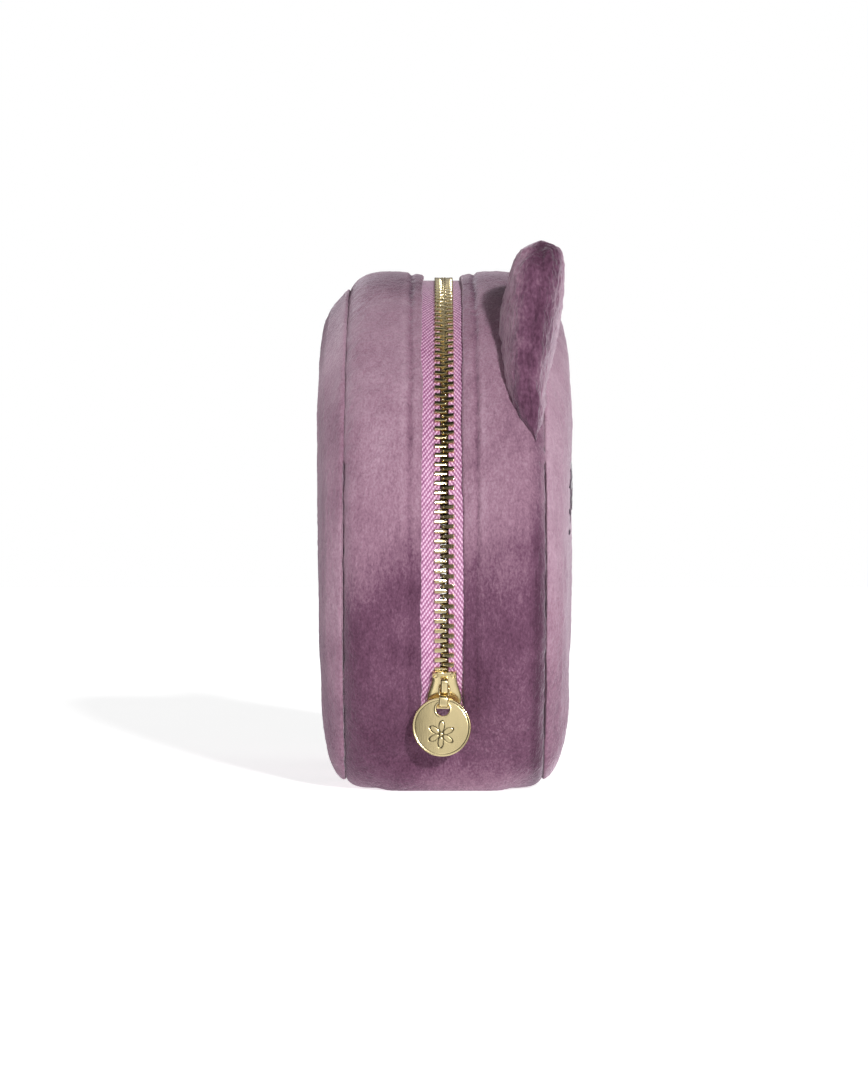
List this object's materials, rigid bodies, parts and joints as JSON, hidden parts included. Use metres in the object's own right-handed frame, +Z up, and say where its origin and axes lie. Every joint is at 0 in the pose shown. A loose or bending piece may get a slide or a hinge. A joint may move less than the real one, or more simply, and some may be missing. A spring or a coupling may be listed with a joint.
{
  "type": "plush makeup bag",
  "caption": "Round plush animal-head makeup bag with two stuffed ears and a metal zip running round the gusset, whose front half folds open.",
  "frame": {"origin": "middle of the flat base, on the surface the bag stands on", "axes": "+X across the width of the bag, -Y out of the face, +Z up"},
  "size_m": [0.196, 0.0816, 0.168],
  "materials": {
    "velvet": "short dense plush pile, mauve",
    "ear_plush": "longer fuzzy plush pile, mauve",
    "zip_tape": "woven herringbone tape, pink",
    "zip_metal": "polished pale brass",
    "pull_metal": "polished pale gold",
    "foam": "soft foam and fibre wadding",
    "lining": "smooth woven lining",
    "binding": "folded woven tape",
    "thread_dark": "satin-stitched dark thread",
    "thread_rose": "satin-stitched rose thread"
  },
  "bodies": {
    "bag": {"back_panel": "velvet", "gusset_strip_back": "velvet", "base_band": "velvet", "back_padding": "foam", "gusset_padding_back": "foam", "base_padding": "foam", "back_lining": "lining", "gusset_lining_back": "lining", "base_lining": "lining", "seam_binding_back": "binding", "zip_tape_back": "zip_tape", "zip_teeth_back": "zip_metal", "top_stop_back": "zip_metal", "bottom_stop": "zip_metal"},
    "front_flap": {"front_panel": "velvet", "gusset_strip_front": "velvet", "front_padding": "foam", "gusset_padding_front": "foam", "front_lining": "lining", "gusset_lining_front": "lining", "seam_binding_front": "binding", "zip_tape_front": "zip_tape", "zip_teeth_front": "zip_metal", "top_stop_front": "zip_metal", "ear_left_front": "ear_plush", "ear_left_back": "ear_plush", "ear_left_filling": "foam", "ear_right_front": "ear_plush", "ear_right_back": "ear_plush", "ear_right_filling": "foam", "eye_left_embroidery": "thread_dark", "eye_right_embroidery": "thread_dark", "whiskers_left_embroidery": "thread_dark", "whiskers_right_embroidery": "thread_dark", "nose_embroidery": "thread_rose", "mouth_embroidery": "thread_dark"},
    "slider": {"slider_body": "pull_metal", "slider_bridge": "pull_metal"},
    "pull_link": {"pull_link": "pull_metal"},
    "pull_disc": {"pull_disc": "pull_metal"}
  },
  "joints": [
    {"name": "front_open", "type": "hinge", "parent": "bag", "child": "front_flap", "pos_m": [0, -0.03065, 0.006], "axis": [1, 0, 0], "range_deg": [0, 45], "deforming": ["zip_tape_front", "zip_tape_back", "zip_teeth_front", "zip_teeth_back"]},
    {"name": "slider_travel", "type": "hinge", "parent": "bag", "child": "slider", "pos_m": [0, 0, 0.066], "axis": [0, 1, 0], "range_deg": [0, 220], "deforming": ["zip_tape_front", "zip_tape_back", "zip_teeth_front", "zip_teeth_back"]},
    {"name": "pull_link_swing", "type": "hinge", "parent": "slider", "child": "pull_link", "pos_m": [-0.0936, 0, 0.03251], "axis": [0, 1, 0], "range_deg": [-5, 85]},
    {"name": "pull_disc_swing", "type": "hinge", "parent": "pull_link", "child": "pull_disc", "pos_m": [-0.0936, 0, 0.02876], "axis": [0, 1, 0], "range_deg": [-12, 50]}
  ]
}
